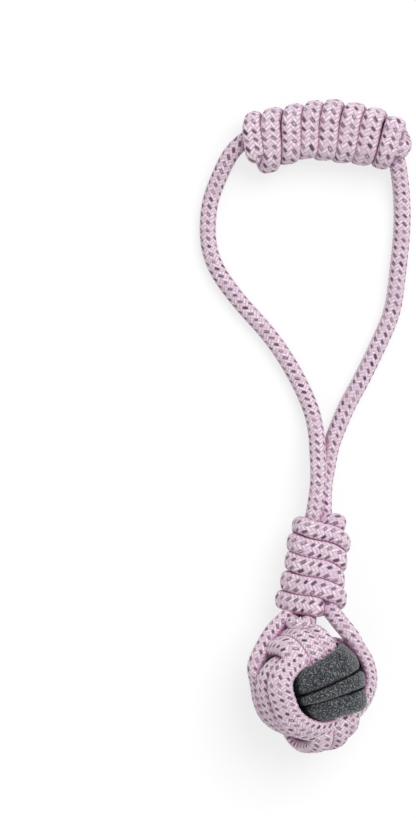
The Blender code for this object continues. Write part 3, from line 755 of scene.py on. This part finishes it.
def fleeceRelief(u, v, centre, angle):
    # slow folds along the strip and soft lumps, from a few turned sine waves
    t = v * fleeceShape["pace"]
    around = angle[None, :]
    folds = 0.30 * np.sin(3 * around + 0.9 * np.sin(t * 1.3)) + 0.22 * np.sin(5 * around - t * 0.8)
    lumps = 0.25 * np.sin(t * 5.1 + 2 * np.cos(around)) + 0.18 * np.sin(t * 11.7 + 3 * np.sin(around * 2))
    fine = 0.12 * np.sin(t * 31 + 9 * around) * np.sin(t * 23 - 7 * around)
    return fleeceShape["height"] * (folds + lumps + fine) - fleeceShape["sunk"]


topBand = braidedRope("topBand", placed(topRoute), topLanes["section"], (topLanes["phase"], 0), topLanes["unit"])
sideBand = braidedRope("sideBand", placed(sideRoute), sideLanes["section"], (sideLanes["phase"], 0),
                       sideLanes["unit"], carriers=sideLanes["carriers"], around=sideLanes["around"])
greyBand = sweptSurface("greyBand", placed(greyRoute), greyLanes["section"], fleeceRelief, braid["unit"],
                        around=greyLanes["around"], step=greyLanes["step"])
greyBand.data.materials.append(materials["fleece"])
for piece, node in ((topBand, "top_band"), (sideBand, "side_band"), (greyBand, "grey_band")):
    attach(piece, "ball")
    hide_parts(node)
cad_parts["ball_core"].data.materials.clear()
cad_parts["ball_core"].data.materials.append(materials["rubber"])
print("ball made")

# The coils
def uneven(reaches, firstHalfTurn):
    # how much further each half turn reaches, with the angles at which they do
    return (np.arange(len(reaches)) + firstHalfTurn) * math.pi, np.array(reaches) * mm


neckFirst = neck["pitch"] * neck["first"] + neck["down"]
neckDives = ({"down": neckFirst - 2.5 * mm, "rightBy": 0, "frontBy": 0,
              "inward": (0, -0.9, -0.4), "pull": 13 * mm},
             {"down": neckFirst + neck["pitch"] * 4.36, "rightBy": 2.5 * mm, "frontBy": -2 * mm,
              "inward": (-0.1, 0, -1), "pull": 14 * mm})


def neckDive(down, rightBy, frontBy, inward, pull):
    # a point by the neck's core where a winding's end goes in, its way there and how strongly it bends
    point, along, leftSlot, up = neckAxis(down)
    way = unit(along * inward[0] - leftSlot * inward[1] + up * inward[2])
    return point - leftSlot * rightBy + up * frontBy, way, pull


neckTurns = (neck["startAngle"], 2 * math.pi * (neck["turns"] - 1) + neck["endAngle"])
neckRoute = coilRoute(neckAxis, neckTurns, neckFirst, neck["pitch"], lambda turn: neck["lean"], neck["fuller"],
                      uneven(neck["reach"], -1), uneven(neck["slid"], -2), neck["endShare"],
                      neckDive(**neckDives[0]), neckDive(**neckDives[1]))
neckWraps = braidedRope("neckWraps", neckRoute, neck["section"], (neck["phase"], 0))
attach(neckWraps, "neck")
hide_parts("neck_wraps")


def gripLean(turn):
    # straight lines between the leans at five shares of the winding
    share = (turn - grip["startAngle"]) / (2 * math.pi * grip["turns"])
    return np.interp(share, grip["leanAt"], grip["leans"]) * mm


rightMouth = gripHalf + grip["pitch"] * grip["rightMouth"]
leftMouth = grip["pitch"] * grip["leftMouth"] - gripHalf
rightEnd = slotPoint(gripAxis, rightMouth, grip["rightSide"], grip["rightLift"])
leftEnd = slotPoint(gripAxis, leftMouth, -1)
gripTurns = (grip["startAngle"], 2 * math.pi * (grip["turns"] - 1) + grip["endAngle"])
gripRoute = coilRoute(gripAxis, gripTurns, gripHalf, -grip["pitch"], gripLean, grip["fuller"],
                      uneven(grip["reach"], 0), uneven(grip["slid"], -1), grip["endShare"],
                      (rightEnd, -gripAxis(rightMouth)[1], grip["rightPull"]),
                      (leftEnd, gripAxis(leftMouth)[1], grip["leftPull"]))
gripWraps = braidedRope("gripWraps", gripRoute, grip["section"], (grip["phase"], 0))
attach(gripWraps, "grip")
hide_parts("grip_wraps")
print("coils made")

# The two long runs of rope, from the ball through the neck and round the loop into the grip
leftLoop = [(0.090, 0.034, 2.00), (0.116, 0.092, 1.90), (0.110, 0.151, 1.65), (0.096, 0.211, 1.22),
            (0.052, 0.267, 0.80), (-0.033, 0.323, 0.56), (-0.163, 0.387, 0.52), (-0.289, 0.438, 0.52),
            (-0.460, 0.494, 0.52), (-0.641, 0.546, 0.52), (-0.790, 0.594, 0.52), (-0.915, 0.644, 0.52),
            (-0.991, 0.699, 0.52), (-1.008, 0.758, 0.52), (-0.970, 0.833, 0.56), (-0.884, 0.891, 0.80),
            (-0.745, 0.955, 1.28)]
rightLoop = [(0.168, 0.034, 1.12), (0.181, 0.083, 0.86), (0.209, 0.124, 0.61), (0.252, 0.179, 0.53),
             (0.319, 0.227, 0.52), (0.405, 0.279, 0.52), (0.520, 0.335, 0.52), (0.647, 0.399, 0.52),
             (0.757, 0.459, 0.52), (0.868, 0.531, 0.52), (0.911, 0.592, 0.52), (0.933, 0.641, 0.52),
             (0.958, 0.700, 0.52), (0.973, 0.758, 0.52), (0.974, 0.810, 0.56), (0.942, 0.897, 0.92),
             (0.888, 0.940, 1.20)]
leftLead = [(-0.85, 0.51, 0.14), (-0.745, 0.72, 0.06), (-0.60, 0.945, -0.08), (-0.41, 1.13, -0.20)]
rightLead = [(0.465, 1.09, 0.03), (0.34, 1.25, -0.09)]


def loopPoints(shares):
    # shares of the loop's half width and length from the neck's top, heights as shares of the rope
    return [np.array([x * loop["halfWidth"], neckTopY + y * loop["length"], z * rope["across"]])
            for x, y, z in shares]


def leadPoints(shares):
    # shares of the ball's reach from its centre
    return [ballCentre + np.array(place) * ballReach for place in shares]


def ropeRun(points, halfWide, halfHigh):
    # a smooth curve through the points, with its top side kept up
    points = np.array(points)
    at = travelled(points)
    s = np.linspace(0, at[-1], int(at[-1] / sweep["runStep"]))
    centre = smoothRows(points, at, s)
    heading = headings(centre)
    outs = unit(np.array([0, 0, 1.0]) - heading * heading[:, 2:])
    return centre, outs, np.full(len(s), halfWide), np.full(len(s), halfHigh)


def cutRun(run, start, end):
    # the stretch between two distances, and how far along the whole run it starts
    at = travelled(run[0])
    keep = (at > start) & (at < end)
    return tuple(column[keep] for column in run), at[keep][0]


def whereY(run, y):
    # the distance along the run at which it first passes a line across the toy
    at = travelled(run[0])
    return at[np.argmax(run[0][:, 1] > y)]


sideEnds = placed(sideRoute)[0]
neckStops = neckRun * np.array(neck["stops"])
upperEnd = rightMouth - strandD - rope["cut"]
lowerEnd = leftMouth + strandD + rope["cut"]
# half widths and half heights, how far the braid is turned round each, and the lines across the toy where it is cut
runs = {"leftHalf": (5.1 * mm, 5.2 * mm), "rightHalf": (5.3 * mm, 4.9 * mm), "leftPhase": 1.75, "rightPhase": 1.17,
        "cuts": (-60 * mm, -28 * mm, 118 * mm), "overlap": 0.6 * mm, "inGrip": 6, "inBand": 2 * mm,
        "straight": 0.35 * rope["across"], "section": 2.0}
# a stretch's name, its two bodies, from where to where along the toy it bends, in mm, and the nodes it replaces
stretches = (("lead", "ball", "neck", (-128, -110), ["lead", "neck_core"]),
             ("throat", "neck", "throat", (-54, -34), ["throat"]),
             ("loop", "throat", "loop", (-27, 6), ["loop"]),
             ("gripStrand", "loop", "grip", (122, 156), ["grip_bend", "grip_core"]))


def straightOn(end, before):
    # from just inside the side band straight on out of it
    way = unit(end - before)
    return [end - way * runs["inBand"], end + way * runs["straight"]]


def gripPoints(side, start, end):
    # points along one of the grip's slots at even distances
    return [slotPoint(gripAxis, u, side) for u in np.linspace(start, end, runs["inGrip"])]


leftRun = ropeRun(
    straightOn(sideEnds[-1], sideEnds[-2]) + leadPoints(leftLead) + [slotPoint(neckAxis, d, 1) for d in neckStops]
    + loopPoints(leftLoop) + gripPoints(1, -gripHalf * grip["leftStop"], upperEnd), *runs["leftHalf"])
rightRun = ropeRun(
    straightOn(sideEnds[0], sideEnds[1]) + leadPoints(rightLead) + [slotPoint(neckAxis, d, -1) for d in neckStops]
    + loopPoints(rightLoop) + gripPoints(-1, gripHalf * grip["rightStop"], lowerEnd), *runs["rightHalf"])

for sideName, run, phase in (("left", leftRun, runs["leftPhase"]), ("right", rightRun, runs["rightPhase"])):
    marks = [0] + [whereY(run, y) for y in runs["cuts"]] + [travelled(run[0])[-1]]
    for (title, bodyA, bodyB, span, nodes), start, end in zip(stretches, marks, marks[1:]):
        part, offset = cutRun(run, start - runs["overlap"], end + runs["overlap"])
        piece = braidedRope(title + sideName.capitalize(), part, runs["section"], (phase, offset),
                            ends=(False, False))
        low, high = [tuple(part[0][np.argmin(np.abs(part[0][:, 1] - y * mm))]) for y in span]
        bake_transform(piece)
        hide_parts(*[f"{node}_{sideName}" for node in nodes])
print("long runs made")

# The link: a short bight that crosses below the neck's last turn
link = {"points": ((-10.2, -108, 18), (-10.2, -113, 22), (-9.7, -117.9, 31), (-8.3, -120.1, 39.5),
                   (-5.9, -120.8, 44.6), (-3.2, -120.9, 45.6), (-0.8, -120.3, 42.5), (0.6, -118.7, 36),
                   (0.8, -114.8, 27), (0.6, -109, 20)),
        "half": 4.8 * mm, "section": 2.0, "phase": 0.2}
linkRun = ropeRun([np.array(p) * mm for p in link["points"]], link["half"], link["half"])
linkRope = braidedRope("linkRope", linkRun, link["section"], (link["phase"], 0))
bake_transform(linkRope)
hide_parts("ball_link")
print("link made")


# Floor and light
studio = {"world": 0.645, "sun": 1.65, "sunAngle": 40 * degree, "sunTurn": (-26 * degree, 22 * degree, 0),
          "floorSize": 6.0, "floorShade": 0.30, "floorColour": light(0.9, 0.9, 0.9), "floorRoughness": 0.9}


def seenDirectly(n):
    # 1 where the camera sees a thing itself, mirrored or through glass, 0 where only its light counts
    path = n.add("ShaderNodeLightPath")
    return n.math("MAXIMUM", path.outputs["Is Camera Ray"],
                  n.math("MAXIMUM", path.outputs["Is Glossy Ray"], path.outputs["Is Transmission Ray"]))


def makeStudio():
    # the floor is seen white with its shadow: part of its white is its own light, part is lit
    mesh = bpy.data.meshes.new("floor")
    half = studio["floorSize"] / 2
    corners = [(-half, -half, 0), (half, -half, 0), (half, half, 0), (-half, half, 0)]
    mesh.from_pydata(corners, [], [(0, 1, 2, 3)])
    floor = bpy.data.objects.new("floor", mesh)
    bpy.context.collection.objects.link(floor)
    material, n, shader = newMaterial("paleFloor")
    shader.inputs["Base Color"].default_value = studio["floorColour"]
    shader.inputs["Roughness"].default_value = studio["floorRoughness"]
    seen = n.add("ShaderNodeBsdfDiffuse")
    seen.inputs["Color"].default_value = (studio["floorShade"],) * 3 + (1,)
    glow = n.add("ShaderNodeEmission")
    glow.inputs["Strength"].default_value = 1.0 - studio["floorShade"]
    both = n.add("ShaderNodeAddShader")
    n.link(seen.outputs[0], both.inputs[0])
    n.link(glow.outputs[0], both.inputs[1])
    choose = n.add("ShaderNodeMixShader")
    n.link(seenDirectly(n), choose.inputs[0])
    n.link(shader.outputs[0], choose.inputs[1])
    n.link(both.outputs[0], choose.inputs[2])
    n.link(choose.outputs[0], n.tree.nodes["Material Output"].inputs["Surface"])
    floor.data.materials.append(material)
    world = bpy.data.worlds.new("studio")
    world.use_nodes = True
    bpy.context.scene.world = world
    w = Nodes(world.node_tree)
    back = world.node_tree.nodes["Background"]
    back.inputs["Color"].default_value = white
    added = w.times(seenDirectly(w), 1.0 - studio["world"])
    w.link(w.plus(studio["world"], added), back.inputs["Strength"])
    data = bpy.data.lights.new("keyLight", "SUN")
    data.energy = studio["sun"]
    data.angle = studio["sunAngle"]
    lamp = bpy.data.objects.new("keyLight", data)
    bpy.context.collection.objects.link(lamp)
    lamp.rotation_euler = studio["sunTurn"]


makeCamera()
makeStudio()
bpy.context.scene.view_settings.view_transform = "Standard"
print("studio made")
